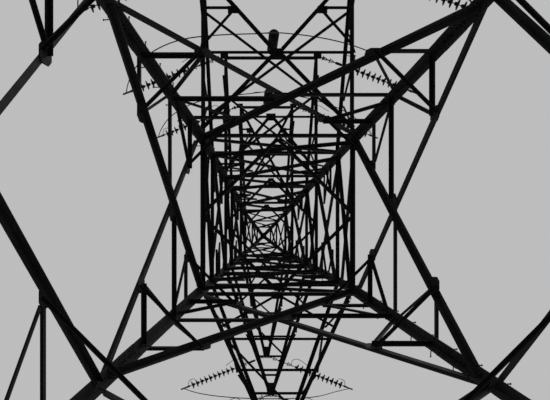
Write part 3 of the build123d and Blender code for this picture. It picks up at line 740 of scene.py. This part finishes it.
def tied_panel_bolts(low, high):
    """The bolts of one panel that has ties and a horizontal through its crossing."""
    places = panel_bolts(low, high, NODE_GAP, DIAGONAL, 3)
    middle = crossing_height(low, high, NODE_GAP)
    first, last = reach(low + NODE_GAP), reach(high - NODE_GAP)
    stop = DIAGONAL[0] / 2 + RING[0] / 2 + CROSSING_CLEARANCE + CROSSING_START
    for side, outside in ((1, True), (-1, False)):
        places += bar_bolts((side * reach(middle), middle), (0, middle), outside, RING[1])
        places += bar_bolts((side * stop, middle), (side, middle), outside, RING[1], pitch=CROSSING_PITCH)
    for height, side in (((low + middle) / 2, 1), ((middle + high) / 2, -1)):
        share = (height - low - NODE_GAP) / (high - low - 2 * NODE_GAP)
        node = first - (first + last) * share
        for mirror, outside in ((1, True), (-1, False)):
            leg_x, node_x = side * mirror * reach(height), node * mirror
            way = 1 if leg_x > node_x else -1
            start = node_x + way * NODE_START
            places += bar_bolts((leg_x, height), (node_x, height), outside, RING[1], pitch=TIE_PITCH)
            places += bar_bolts((start, height), (leg_x, height), outside, RING[1], pitch=TIE_PITCH)
    return places


def body_bolts():
    """Every bolt of the body's four faces."""
    places = []
    top = BELT_HEIGHT
    for side in (-1, 1):
        places += bar_bolts((side * reach(top), top), (0, top), True, BELT[1], 3)
        places += bar_bolts((side * BELT_START, top), (side, top), True, BELT[1], 3)
        foot, crown = (side * reach(BRACE_FOOT), BRACE_FOOT), (side * BRACE_CROWN, top - BELT[0])
        places += bar_bolts(foot, crown, False, BELT[1], 3)
        places += bar_bolts((side * CROWN_START[0], top - CROWN_START[1]), foot, False, BELT[1])
        for share in BASE_TIES:
            x, z = foot[0] + (crown[0] - foot[0]) * share, foot[1] + (crown[1] - foot[1]) * share
            leg_x, start = side * reach(z), x + side * NODE_START
            places += bar_bolts((leg_x, z), (x, z), True, TIE[1], pitch=TIE_PITCH)
            places += bar_bolts((start, z), (leg_x, z), True, TIE[1], pitch=TIE_PITCH)
    places += tied_panel_bolts(BELT_HEIGHT, PANEL_HEIGHT)
    places += tied_panel_bolts(PANEL_HEIGHT, WAIST_HEIGHT)
    for floor in ARM_FLOORS:
        places += panel_bolts(floor + PANEL_START, floor + UPPER_RING, UPPER_GAP, LACING, 2)
        if floor != ARM_FLOORS[-1]:
            places += panel_bolts(floor + UPPER_RING, floor + ARM_SPACING, UPPER_GAP, LACING, 2)
    return on_four_faces(places)


def splice_plates():
    """The place and the size of every splice cover, as matrices for a cube of size one."""
    places = []
    for height in SPLICE_HEIGHTS:
        half, slope = body_half(height)
        normal = Vector((0, -1, -slope)).normalized()
        for side in (-1, 1):
            run = Vector((side * slope, -slope, 1)).normalized()
            edge = run.cross(normal).normalized()
            matrix = Matrix((edge * SPLICE_WIDTH, normal * SPLICE_THICKNESS, run * SPLICE_LENGTH))
            place = matrix.transposed().to_4x4()
            middle = Vector((side * reach(height), -half, height))
            place.translation = middle + normal * (SPLICE_THICKNESS / 2 + SEAT)
            places.append(place)
    return on_four_faces(places)


def splice_bolts():
    """The bolts through the splice covers of the four faces."""
    places = []
    for height in SPLICE_HEIGHTS:
        for step in SPLICE_STEPS:
            z = height + step
            for side in (-1, 1):
                for shift in (-SPLICE_SHIFT, SPLICE_SHIFT):
                    x = side * reach(z) + shift
                    places.append(face_matrix(x, z, -SEAT - SPLICE_THICKNESS))
                    places.append(face_matrix(x, z, leg_section(z)[1], False))
    return on_four_faces(places)


def plan_bracing():
    """The level diamonds inside the body at the arms' floors, which join the middles of its faces."""
    shape = bmesh.new()
    for floor, section in zip(ARM_FLOORS, PLAN_SECTIONS):
        z = floor - PLAN_DROP
        inside = body_half(z)[0] - leg_section(z)[1] - SEAT
        for side_x in (-1, 1):
            for side_y in (-1, 1):
                start, end = Vector((0, side_y * inside, z)), Vector((side_x * inside, 0, z))
                trim = (end - start).normalized() * PLAN_TRIM
                angle_bar(shape, start + trim, end - trim, Vector((0, 0, 1)), section)
        for turn in range(4):
            quarter = Matrix.Rotation(turn * pi / 2, 4, "Z")
            middle = Matrix.Translation((0, -inside + PLAN_PLATE[1] / 2, z - PLAN_PLATE[2] / 2))
            size = Matrix.Diagonal((*PLAN_PLATE, 1))
            bmesh.ops.create_cube(shape, size=1, matrix=quarter @ middle @ size)
    return shape


def arm_plates():
    """The plates on the square ended arms' floors: one at the middle arm, three at the others."""
    places = []
    for name, floor, square in zip(ARM_NAMES, ARM_FLOORS, SQUARE_REACH):
        half = floor_half(floor)
        cross, strut, end = (-half - (square - half) * share for share in FLOOR_SHARES)
        middle = Matrix.Translation((0, cross, floor + FOOT_PLATE[2] / 2))
        places.append(middle @ Matrix.Diagonal((*FOOT_PLATE, 1)))
        if name == "middle":
            continue
        joint = FLOOR_GAP + (half - CHORD_SIZE / 2 - FLOOR_GAP) * (strut - cross) / (end - cross)
        for side in (-1, 1):
            x, y = side * (joint + STRUT_PLATE_SHIFT[0]), strut + STRUT_PLATE_SHIFT[1]
            place = Matrix.Translation((x, y, floor + STRUT_PLATE[2] / 2))
            places.append(place @ Matrix.Diagonal((*STRUT_PLATE, 1)))
    return places


def arm_vees():
    """The Vs on the pointed arms' floors, from the middle of the body's face to both chords."""
    shape = bmesh.new()
    half_turn = Matrix.Rotation(pi, 4, "Z")
    for floor, pointed, share in zip(ARM_FLOORS, POINTED_REACH, VEE_SHARES):
        half, length = floor_half(floor), pointed - TIP_INSET
        retreat = CHORD_SIZE * sin(atan((half - TIP_HALF) / (length - half)))
        root = Vector((half - retreat, -half - SEAT - retreat, 0))
        tip = Vector((TIP_HALF, -length, 0))
        along = (tip - root).normalized()
        goal = root.lerp(tip, share) - Vector((-along.y, along.x, 0)) * (CHORD_SIZE / 2)
        for side in (-1, 1):
            start = half_turn @ Vector((side * VEE_FOOT[0], -half - VEE_FOOT[1], floor - SEAT))
            end = half_turn @ Vector((side * goal.x, goal.y, floor - SEAT))
            angle_bar(shape, start, end, Vector((0, 0, -1)), VEE_SECTION)
        middle = Matrix.Translation((0, half + SEAT + VEE_PLATE[1] / 2, floor + VEE_PLATE[2] / 2))
        bmesh.ops.create_cube(shape, size=1, matrix=middle @ Matrix.Diagonal((*VEE_PLATE, 1)))
    return shape


def upper_ties():
    """Short ties between the diagonals of the tall upper panels and the legs, on all four faces."""
    shape = bmesh.new()
    for floor in ARM_FLOORS[:2]:
        start, end = floor + UPPER_RING + UPPER_GAP, floor + ARM_SPACING - UPPER_GAP
        for mirror in (1, -1):
            foot, head = reach(start) * mirror, -reach(end) * mirror
            for share in FINE_TIE_SHARES:
                z = start + (end - start) * share
                x = foot + (head - foot) * share
                side = 1 if x > 0 else -1
                for goal in ((start + end) / 2, z):
                    add_face_bar(shape, (x, z), (side * reach(goal), goal), mirror > 0)
    return shape


def add_face_bar(shape, start, end, outside):
    """Adds a thin tie on all four faces, outside or inside the legs' flanges."""
    for face in range(4):
        turn = Matrix.Rotation(face * pi / 2, 4, "Z")
        ends = []
        for x, z in (start, end):
            half, slope = body_half(z)
            normal = Vector((0, -1, -slope)).normalized()
            depth = -SEAT if outside else leg_section(z)[1] + SEAT
            ends.append(Vector((x, -half, z)) - normal * depth)
        flat = turn.to_3x3() @ (normal if outside else -normal)
        angle_bar(shape, turn @ ends[0], turn @ ends[1], flat, FINE_TIE)


def step_places():
    """Step bolts up two opposite legs, on the two flanges in turn."""
    pitch = settings().step_pitch
    places = []
    for side in (-1, 1):
        for index in range(int((CROWN_HEIGHT - STEP_START) / pitch)):
            z = STEP_START + index * pitch
            half, slope = body_half(z)
            middle = half - leg_section(z)[0] * STEP_SHARE
            if index % 2:
                place = Vector((side * half, side * middle, z))
                way = Vector((side, 0, -slope))
            else:
                place = Vector((side * middle, side * half, z))
                way = Vector((0, side, -slope))
            places.append(turned_to(way, place))
    return places


def along_string(start, way, places):
    """Points beside a string, from places along it and out of it towards the image's top."""
    out = way.cross(Vector((0, 0, 1))).normalized()
    if out.y > 0:
        out = -out
    return [start + way * along + out * off for along, off in places]


# Operators


class TOWER_OT_finishes(bpy.types.Operator):
    """Gives every solid piece its finish"""

    bl_idname = "tower.finishes"
    bl_label = "Finishes"

    def execute(self, context):
        steel, plates = tower_steel(), plate_steel()
        cables, clamps, glass = cable_aluminium(), clamp_aluminium(), disc_glass()
        bolt_steel()
        for name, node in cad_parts.items():
            material = steel
            if "insulators" in name:
                material = glass
            elif "jumper" in name:
                material = cables
            elif "clamps" in name:
                material = clamps
            elif name == "base_plates":
                material = plates
            node.data.materials.clear()
            node.data.materials.append(material)
        return {"FINISHED"}


class TOWER_OT_discs(bpy.types.Operator):
    """Adds the insulator discs, their shells and their metal caps"""

    bl_idname = "tower.discs"
    bl_label = "Insulator discs"

    def execute(self, context):
        glass, places = bpy.data.materials["disc_glass"], disc_places()
        shells = repeated(lathed(SHELL_PROFILE, SHELL_SIDES), places)
        shells = add_piece("disc_shells", shells, glass, True)
        cap = joined(lathed(CAP_PROFILE, CAP_SIDES), lathed(PIN_PROFILE, PIN_SIDES))
        add_steel("disc_caps", repeated(cap, places))
        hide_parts("tension_insulators", "pilot_insulators")
        return {"FINISHED"}


class TOWER_OT_cables(bpy.types.Operator):
    """Adds the jumper cables as smooth loops"""

    bl_idname = "tower.cables"
    bl_label = "Jumper cables"

    def execute(self, context):
        material = bpy.data.materials["cable_aluminium"]
        for name, kind, floor, faces in arm_ends():
            way, arm = string_way(kind, 1), ARM_NAMES.index(name)
            lug_place = STRING_LINKS[kind] + DISC_COUNT * DISC_PITCH + LUG_PLACE
            lug = string_start(faces[1], way) + way * lug_place
            if kind == "inner":
                route = [Vector((x, lug.y, floor + z)) for x, z in INNER_JUMPER]
            else:
                grip, stretch = pilot_y(SQUARE_REACH[arm]), lug.x / OUTER_SPAN
                route = []
                for x, z in OUTER_JUMPER:
                    share = (abs(x) - PILOT_GRIP) / (OUTER_SPAN - PILOT_GRIP)
                    route.append(Vector((x * stretch, grip + (lug.y - grip) * share, floor + z)))
            curve = bpy.data.curves.new(f"{name}_{kind}_cable", "CURVE")
            curve.dimensions = "3D"
            curve.bevel_depth = JUMPER_DIAMETER / 2
            curve.bevel_resolution = 3
            curve.resolution_u = 4
            curve.use_fill_caps = True
            spline = curve.splines.new("NURBS")
            spline.points.add(len(route) - 1)
            for point, place in zip(spline.points, route):
                point.co = (*place, 1)
            spline.order_u = 3
            spline.use_endpoint_u = True
            curve.materials.append(material)
            cable = bpy.data.objects.new(curve.name, curve)
            context.scene.collection.objects.link(cable)
            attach(cable, "root")
            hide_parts(f"{name}_{kind}_jumper")
        return {"FINISHED"}


class TOWER_OT_horns(bpy.types.Operator):
    """Adds the arcing horns at both ends of every string, on one side of it"""

    bl_idname = "tower.horns"
    bl_label = "Arcing horns"

    def execute(self, context):
        radius = settings().horn_diameter / 2
        shape = bmesh.new()
        for kind, start, way, link in tension_strings():
            first = start + way * link
            last = first + way * (DISC_COUNT * DISC_PITCH)
            bent_rod(shape, along_string(first, way, ARM_HORNS[kind]), radius)
            bent_rod(shape, along_string(last, way, LINE_HORN), radius)
        for top in pilot_stacks():
            foot = top - Vector((0, 0, PILOT_DISCS * DISC_PITCH))
            bent_rod(shape, [foot + Vector((x, 0, z)) for x, z in PILOT_HORN], radius)
        add_steel("arcing_horns", shape, smooth=True)
        return {"FINISHED"}


class TOWER_OT_shackles(bpy.types.Operator):
    """Adds the chain of shackles along every string's link"""

    bl_idname = "tower.shackles"
    bl_label = "Shackles"

    def execute(self, context):
        shape = bmesh.new()
        half, radius = SHACKLE_WIDTH / 2, SHACKLE_ROD / 2
        shoulder, crown = SHACKLE_LENGTH * BOW_SHOULDER, half * BOW_CROWN
        bow = [
            (-half, 0, 0), (-half, 0, shoulder), (-crown, 0, SHACKLE_LENGTH),
            (crown, 0, SHACKLE_LENGTH), (half, 0, shoulder), (half, 0, 0),
        ]
        bent_rod(shape, [Vector(place) for place in bow], radius)
        end = Vector((half + radius + PIN_REACH, 0, 0))
        nut = Vector((PIN_NUT, 0, 0))
        rod(shape, -end, end, radius * PIN_SHARE)
        for side in (-1, 1):
            rod(shape, side * end, side * (end + nut), radius * NUT_SHARE, sides=6)
        places = []
        for _, start, way, _ in tension_strings():
            turn = turned_to(way, start)
            for index, along in enumerate(SHACKLE_PLACES):
                twist = Matrix.Rotation(pi / 2 * (index % 2), 4, "Z")
                places.append(turn @ Matrix.Translation((0, 0, along)) @ twist)
        add_steel("link_shackles", repeated(shape, places), smooth=True)
        return {"FINISHED"}


class TOWER_OT_bolts(bpy.types.Operator):
    """Adds the bolt heads and nuts of the body, and the splice covers of its legs"""

    bl_idname = "tower.bolts"
    bl_label = "Bolts"

    def execute(self, context):
        head = hex_head(settings().bolt_width, settings().bolt_height)
        add_steel("body_bolts", repeated(head, body_bolts() + splice_bolts()), "bolt_steel")
        add_steel("leg_splices", plates_at(splice_plates()))
        return {"FINISHED"}


class TOWER_OT_bracing(bpy.types.Operator):
    """Adds the body's level bracing and fine ties, and the Vs and plates of the arms' floors"""

    bl_idname = "tower.bracing"
    bl_label = "Fine bracing"

    def execute(self, context):
        add_steel("plan_bracing", plan_bracing())
        add_steel("upper_ties", upper_ties())
        add_steel("arm_vees", arm_vees())
        add_steel("arm_plates", plates_at(arm_plates()))
        return {"FINISHED"}


class TOWER_OT_steps(bpy.types.Operator):
    """Adds the step bolts up two legs"""

    bl_idname = "tower.steps"
    bl_label = "Step bolts"

    def execute(self, context):
        radius, length = settings().step_diameter / 2, settings().step_length
        nut, nut_end = STEP_NUT
        head, head_height = STEP_HEAD
        step = lathed([
            (0, STEP_SEAT), (nut, STEP_SEAT), (nut, nut_end), (radius, nut_end + STEP_BEVELS[0]),
            (radius, length - head_height - STEP_BEVELS[1]), (head, length - head_height),
            (head, length), (0, length),
        ], STEP_SIDES)
        add_steel("step_bolts", repeated(step, step_places()), "bolt_steel")
        return {"FINISHED"}


class TOWER_OT_stage(bpy.types.Operator):
    """Adds the floor, the lights, the backdrop and the camera"""

    bl_idname = "tower.stage"
    bl_label = "Stage"

    def execute(self, context):
        scene = context.scene
        shape = bmesh.new()
        bmesh.ops.create_grid(shape, x_segments=2, y_segments=2, size=FLOOR_SIZE)
        mesh = bpy.data.meshes.new("floor")
        shape.to_mesh(mesh)
        shape.free()
        floor = bpy.data.objects.new("floor", mesh)
        scene.collection.objects.link(floor)
        mesh.materials.append(self.floor_material())

        sun = bpy.data.lights.new("soft_sun", "SUN")
        sun.energy = LAMP_ENERGY
        sun.angle = radians(LAMP_SPREAD)
        lamp = bpy.data.objects.new("soft_sun", sun)
        lamp.rotation_euler = [radians(angle) for angle in LAMP_TURNS]
        scene.collection.objects.link(lamp)
        self.world(scene)

        camera = bpy.data.cameras.new("camera")
        camera.sensor_width = SENSOR_WIDTH
        camera.lens = FOCAL_PIXELS / IMAGE_WIDTH * SENSOR_WIDTH
        camera.shift_x = (IMAGE_WIDTH / 2 - ZENITH_X) / IMAGE_WIDTH
        camera.shift_y = (ZENITH_Y - IMAGE_HEIGHT / 2) / IMAGE_WIDTH
        camera.clip_end = VIEW_LIMIT
        eye = bpy.data.objects.new("camera", camera)
        eye.location = EYE
        eye.rotation_euler = (pi, 0, 0)
        scene.collection.objects.link(eye)
        scene.camera = eye
        scene.view_settings.view_transform = "Standard"
        return {"FINISHED"}

    def floor_material(self):
        """A pale floor with a faint grain, which throws back little light from under the tower."""
        material, nodes, links, shader, place = new_material("pale_floor")
        grain = noise(nodes, links, place, scale=0.6, detail=3)
        pale = ramp(nodes, links, grain, FLOOR_TONES)
        colour = mixed(nodes, links, seen_rays(nodes, links), FLOOR_RETURN, pale)
        links.new(colour, shader.inputs["Base Color"])
        shader.inputs["Roughness"].default_value = 0.9
        return material

    def world(self, scene):
        """Even light from all round, and the backdrop's own colour where it is seen."""
        world = bpy.data.worlds.new("soft_world")
        scene.world = world
        world.use_nodes = True
        nodes, links = world.node_tree.nodes, world.node_tree.links
        light = nodes["Background"]
        light.inputs["Color"].default_value = (*LIGHT_COLOUR, 1)
        light.inputs["Strength"].default_value = LIGHT_STRENGTH
        backdrop = nodes.new("ShaderNodeBackground")
        backdrop.inputs["Color"].default_value = (*settings().backdrop_colour, 1)
        mix = nodes.new("ShaderNodeMixShader")
        links.new(seen_rays(nodes, links), mix.inputs["Fac"])
        links.new(light.outputs[0], mix.inputs[1])
        links.new(backdrop.outputs[0], mix.inputs[2])
        links.new(mix.outputs[0], nodes["World Output"].inputs["Surface"])


class TOWER_PT_panel(bpy.types.Panel):
    """The tower's operators and settings"""

    bl_idname = "TOWER_PT_panel"
    bl_label = "Tower"
    bl_space_type = "VIEW_3D"
    bl_region_type = "UI"
    bl_category = "Tower"

    def draw(self, context):
        for name in TowerSettings.__annotations__:
            self.layout.prop(context.scene.tower_settings, name)
        for operator in OPERATORS:
            self.layout.operator(operator.bl_idname)


OPERATORS = (
    TOWER_OT_finishes,
    TOWER_OT_discs,
    TOWER_OT_cables,
    TOWER_OT_horns,
    TOWER_OT_shackles,
    TOWER_OT_bolts,
    TOWER_OT_bracing,
    TOWER_OT_steps,
    TOWER_OT_stage,
)
CLASSES = (TowerSettings, *OPERATORS, TOWER_PT_panel)


def register():
    for cls in CLASSES:
        bpy.utils.register_class(cls)
    bpy.types.Scene.tower_settings = bpy.props.PointerProperty(type=TowerSettings)


def unregister():
    del bpy.types.Scene.tower_settings
    for cls in reversed(CLASSES):
        bpy.utils.unregister_class(cls)


def main():
    register()
    bpy.ops.tower.finishes()
    bpy.ops.tower.discs()
    bpy.ops.tower.cables()
    bpy.ops.tower.horns()
    bpy.ops.tower.shackles()
    bpy.ops.tower.bolts()
    bpy.ops.tower.bracing()
    bpy.ops.tower.steps()
    bpy.ops.tower.stage()


if __name__ == "__main__":
    main()
